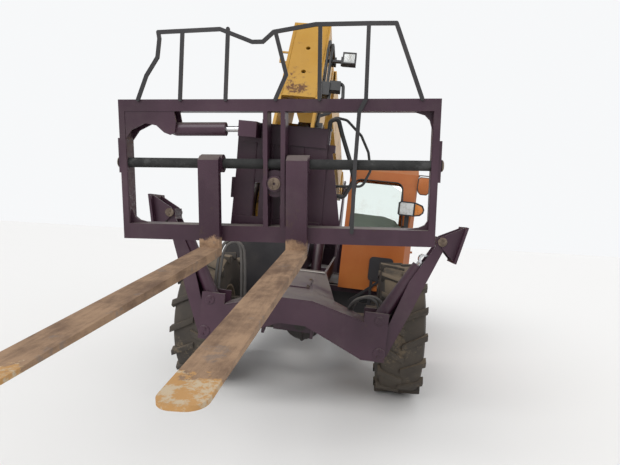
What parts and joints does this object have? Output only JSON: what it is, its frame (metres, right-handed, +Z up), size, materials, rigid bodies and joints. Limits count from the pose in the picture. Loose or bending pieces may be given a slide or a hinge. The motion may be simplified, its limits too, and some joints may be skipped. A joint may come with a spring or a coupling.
{
  "type": "telehandler",
  "caption": "Telescopic handler with a gooseneck boom, side-tilting fork carriage, raised front stabilisers and an open-windowed cab",
  "frame": {"origin": "on the ground under the middle of the machine's overall box", "axes": "+X to the machine's left (the cab's side), -Y to its front, +Z up"},
  "size_m": [2.5944, 7.9844, 3.1557],
  "materials": {
    "plum_paint": "worn dark plum enamel with dust and chips",
    "yellow_paint": "faded mustard-yellow paint",
    "orange_paint": "faded orange cab paint",
    "black_paint": "dull black paint",
    "worn_steel": "bare rusty steel, tan with dust",
    "shaft_steel": "dark oiled steel shaft",
    "rod_chrome": "hard-chromed piston rod",
    "axle_iron": "greasy cast housing",
    "rim_paint": "dusty rim paint",
    "tyre": "dusty, worn treaded rubber",
    "seat_cover": "worn black seat cover",
    "dash_plastic": "grey-green dashboard moulding",
    "black_plastic": "black plastic"
  },
  "bodies": {
    "chassis": {"frame_rail_left": "plum_paint", "frame_rail_right": "plum_paint", "axle_mount_front": "plum_paint", "axle_mount_rear": "plum_paint", "headlight": "black_plastic", "cab_mirror": "black_paint", "cab_guard": "black_paint", "cab_step": "black_paint", "front_beam": "plum_paint", "frame_nose": "plum_paint", "front_axle": "axle_iron", "rear_axle": "axle_iron", "engine_block": "axle_iron", "engine_bay": "black_paint", "counterweight": "plum_paint", "fuel_tank": "black_paint", "cab_shell": "orange_paint", "dashboard": "dash_plastic", "seat": "seat_cover", "steering_wheel": "black_plastic"},
    "cab_door": {"cab_door": "orange_paint"},
    "engine_hood": {"engine_hood": "black_paint"},
    "boom_outer": {"boom_outer": "yellow_paint"},
    "boom_middle": {"boom_middle": "yellow_paint"},
    "boom_inner": {"boom_inner": "yellow_paint", "work_lamp": "black_paint", "boom_hoses": "black_plastic"},
    "adapter": {"adapter": "plum_paint", "adapter_hoses": "black_plastic"},
    "carriage": {"carriage": "plum_paint", "fork_shaft": "shaft_steel", "load_backrest": "black_paint"},
    "fork_left": {"fork_left": "worn_steel"},
    "fork_right": {"fork_right": "worn_steel"},
    "lift_cylinder": {"lift_cylinder": "plum_paint"},
    "lift_rod": {"lift_rod": "rod_chrome"},
    "attachment_cylinder": {"tilt_cylinder": "plum_paint"},
    "attachment_rod": {"tilt_rod": "rod_chrome"},
    "side_cylinder": {"side_tilt_cylinder": "plum_paint"},
    "side_rod": {"side_tilt_rod": "rod_chrome"},
    "stabiliser_arm_left": {"stabiliser_arm_left": "plum_paint"},
    "stabiliser_foot_left": {"stabiliser_foot_left": "plum_paint"},
    "stabiliser_left_cylinder": {"stabiliser_cylinder_left": "plum_paint"},
    "stabiliser_left_rod": {"stabiliser_rod_left": "rod_chrome"},
    "stabiliser_arm_right": {"stabiliser_arm_right": "plum_paint"},
    "stabiliser_foot_right": {"stabiliser_foot_right": "plum_paint"},
    "stabiliser_right_cylinder": {"stabiliser_cylinder_right": "plum_paint"},
    "stabiliser_right_rod": {"stabiliser_rod_right": "rod_chrome"},
    "knuckle_front_left": {"knuckle_front_left": "axle_iron"},
    "wheel_front_left": {"tyre_front_left": "tyre", "rim_front_left": "rim_paint"},
    "knuckle_front_right": {"knuckle_front_right": "axle_iron"},
    "wheel_front_right": {"tyre_front_right": "tyre", "rim_front_right": "rim_paint"},
    "knuckle_rear_left": {"knuckle_rear_left": "axle_iron"},
    "wheel_rear_left": {"tyre_rear_left": "tyre", "rim_rear_left": "rim_paint"},
    "knuckle_rear_right": {"knuckle_rear_right": "axle_iron"},
    "wheel_rear_right": {"tyre_rear_right": "tyre", "rim_rear_right": "rim_paint"}
  },
  "joints": [
    {"name": "steer_front_left", "type": "hinge", "parent": "chassis", "child": "knuckle_front_left", "pos_m": [0.7427, -0.0928, 0.635], "axis": [0, 0, 1], "range_deg": [-35, 35]},
    {"name": "roll_front_left", "type": "hinge", "parent": "knuckle_front_left", "child": "wheel_front_left", "pos_m": [0.8927, -0.0928, 0.635], "axis": [1, 0, 0], "continuous": true},
    {"name": "steer_front_right", "type": "hinge", "parent": "chassis", "child": "knuckle_front_right", "pos_m": [-0.8573, -0.0928, 0.635], "axis": [0, 0, 1], "range_deg": [-35, 35]},
    {"name": "roll_front_right", "type": "hinge", "parent": "knuckle_front_right", "child": "wheel_front_right", "pos_m": [-1.0073, -0.0928, 0.635], "axis": [1, 0, 0], "continuous": true},
    {"name": "steer_rear_left", "type": "hinge", "parent": "chassis", "child": "knuckle_rear_left", "pos_m": [0.7427, 2.8572, 0.635], "axis": [0, 0, 1], "range_deg": [-35, 35]},
    {"name": "roll_rear_left", "type": "hinge", "parent": "knuckle_rear_left", "child": "wheel_rear_left", "pos_m": [0.8927, 2.8572, 0.635], "axis": [1, 0, 0], "continuous": true},
    {"name": "steer_rear_right", "type": "hinge", "parent": "chassis", "child": "knuckle_rear_right", "pos_m": [-0.8573, 2.8572, 0.635], "axis": [0, 0, 1], "range_deg": [-35, 35]},
    {"name": "roll_rear_right", "type": "hinge", "parent": "knuckle_rear_right", "child": "wheel_rear_right", "pos_m": [-1.0073, 2.8572, 0.635], "axis": [1, 0, 0], "continuous": true},
    {"name": "boom_lift", "type": "hinge", "parent": "chassis", "child": "boom_outer", "pos_m": [-0.03793, 3.2072, 2.15106], "axis": [-0.9986, 0, 0.0523], "range_deg": [-13, 52]},
    {"name": "boom_extend", "type": "slide", "parent": "boom_outer", "child": "boom_middle", "axis": [0.0091, -0.9848, 0.1734], "range_m": [0, 2.4]},
    {"name": "boom_extend_inner", "type": "slide", "parent": "boom_middle", "child": "boom_inner", "axis": [0.0091, -0.9848, 0.1734], "range_m": [0, 2.4]},
    {"name": "lift_swing", "type": "hinge", "parent": "chassis", "child": "lift_cylinder", "pos_m": [-0.11486, 1.4072, 0.68308], "axis": [0.9986, 0, -0.0523], "range_deg": [-2.32, 7.78]},
    {"name": "lift_stroke", "type": "slide", "parent": "lift_cylinder", "child": "lift_rod", "axis": [0.044, 0.5414, 0.8396], "range_m": [-0.18717, 0.74569]},
    {"name": "attachment_tilt", "type": "hinge", "parent": "boom_inner", "child": "adapter", "pos_m": [-0.0604, -1.87254, 1.72222], "axis": [0.9986, 0, -0.0523], "range_deg": [-18, 75]},
    {"name": "attachment_swing", "type": "hinge", "parent": "boom_inner", "child": "attachment_cylinder", "pos_m": [-0.02591, -1.11256, 2.38036], "axis": [0.9986, 0, -0.0523], "range_deg": [-1.94, 6.5]},
    {"name": "attachment_stroke", "type": "slide", "parent": "attachment_cylinder", "child": "attachment_rod", "axis": [-0.0188, -0.9331, -0.3591], "range_m": [-0.10177, 0.42086]},
    {"name": "carriage_side_tilt", "type": "hinge", "parent": "adapter", "child": "carriage", "pos_m": [-0.04721, -2.06242, 1.87836], "axis": [-0.0062, -0.993, -0.1182], "range_deg": [-14.8, 5.2]},
    {"name": "side_swing", "type": "hinge", "parent": "carriage", "child": "side_cylinder", "pos_m": [-0.6673, -2.19202, 2.15342], "axis": [-0.0062, -0.993, -0.1182], "range_deg": [-7.46, 2.94]},
    {"name": "side_stroke", "type": "slide", "parent": "side_cylinder", "child": "side_rod", "axis": [0.9993, -0.0104, 0.0353], "range_m": [-0.07594, 0.02733]},
    {"name": "fork_left_slide", "type": "slide", "parent": "carriage", "child": "fork_left", "axis": [0.9995, -0.0099, 0.0308], "range_m": [-0.005, 0.231]},
    {"name": "fork_right_slide", "type": "slide", "parent": "carriage", "child": "fork_right", "axis": [0.9995, -0.0099, 0.0308], "range_m": [-0.44, 0.237]},
    {"name": "stabiliser_left_lower", "type": "hinge", "parent": "chassis", "child": "stabiliser_arm_left", "pos_m": [0.66639, -0.9578, 0.61009], "axis": [0, 1, 0], "range_deg": [0, 98]},
    {"name": "stabiliser_left_foot", "type": "hinge", "parent": "stabiliser_arm_left", "child": "stabiliser_foot_left", "pos_m": [1.11151, -0.9578, 1.53706], "axis": [0, 1, 0], "range_deg": [-20, 20]},
    {"name": "stabiliser_left_swing", "type": "hinge", "parent": "chassis", "child": "stabiliser_left_cylinder", "pos_m": [0.65634, -0.9578, 0.87698], "axis": [0, 1, 0], "range_deg": [-0.5, 104.38]},
    {"name": "stabiliser_left_stroke", "type": "slide", "parent": "stabiliser_left_cylinder", "child": "stabiliser_left_rod", "axis": [0.545, 0, 0.8384], "range_m": [-0.001, 0.38104]},
    {"name": "stabiliser_right_lower", "type": "hinge", "parent": "chassis", "child": "stabiliser_arm_right", "pos_m": [-0.77963, -0.9578, 0.68587], "axis": [0, -1, 0], "range_deg": [0, 98]},
    {"name": "stabiliser_right_foot", "type": "hinge", "parent": "stabiliser_arm_right", "child": "stabiliser_foot_right", "pos_m": [-1.12542, -0.9578, 1.6543], "axis": [0, -1, 0], "range_deg": [-20, 20]},
    {"name": "stabiliser_right_swing", "type": "hinge", "parent": "chassis", "child": "stabiliser_right_cylinder", "pos_m": [-0.74174, -0.9578, 0.95025], "axis": [0, -1, 0], "range_deg": [-0.5, 104.38]},
    {"name": "stabiliser_right_stroke", "type": "slide", "parent": "stabiliser_right_cylinder", "child": "stabiliser_right_rod", "axis": [-0.4544, 0, 0.8908], "range_m": [-0.001, 0.38104]},
    {"name": "cab_door_hinge", "type": "hinge", "parent": "chassis", "child": "cab_door", "pos_m": [1.0867, 1.5472, 1.54137], "axis": [0.0523, 0, 0.9986], "range_deg": [0, 95]},
    {"name": "engine_hood_hinge", "type": "hinge", "parent": "chassis", "child": "engine_hood", "pos_m": [-0.30973, 1.3672, 1.38424], "axis": [0, 1, 0], "range_deg": [0, 70]}
  ],
  "couplings": [
    {"joint": "steer_front_right", "follows": "steer_front_left", "ratio": 1},
    {"joint": "steer_rear_right", "follows": "steer_rear_left", "ratio": 1},
    {"joint": "boom_extend_inner", "follows": "boom_extend", "ratio": 1},
    {"joint": "lift_swing", "follows": "boom_lift", "ratio": 0.14},
    {"joint": "lift_stroke", "follows": "boom_lift", "m_per_rad": 0.82053},
    {"joint": "attachment_swing", "follows": "attachment_tilt", "ratio": 0.08},
    {"joint": "attachment_stroke", "follows": "attachment_tilt", "m_per_rad": 0.32075},
    {"joint": "side_swing", "follows": "carriage_side_tilt", "ratio": 0.47},
    {"joint": "side_stroke", "follows": "carriage_side_tilt", "m_per_rad": 0.29012},
    {"joint": "stabiliser_left_swing", "follows": "stabiliser_left_lower", "ratio": 1.06},
    {"joint": "stabiliser_left_stroke", "follows": "stabiliser_left_lower", "m_per_rad": 0.22219},
    {"joint": "stabiliser_right_swing", "follows": "stabiliser_right_lower", "ratio": 1.06},
    {"joint": "stabiliser_right_stroke", "follows": "stabiliser_right_lower", "m_per_rad": 0.22219}
  ]
}
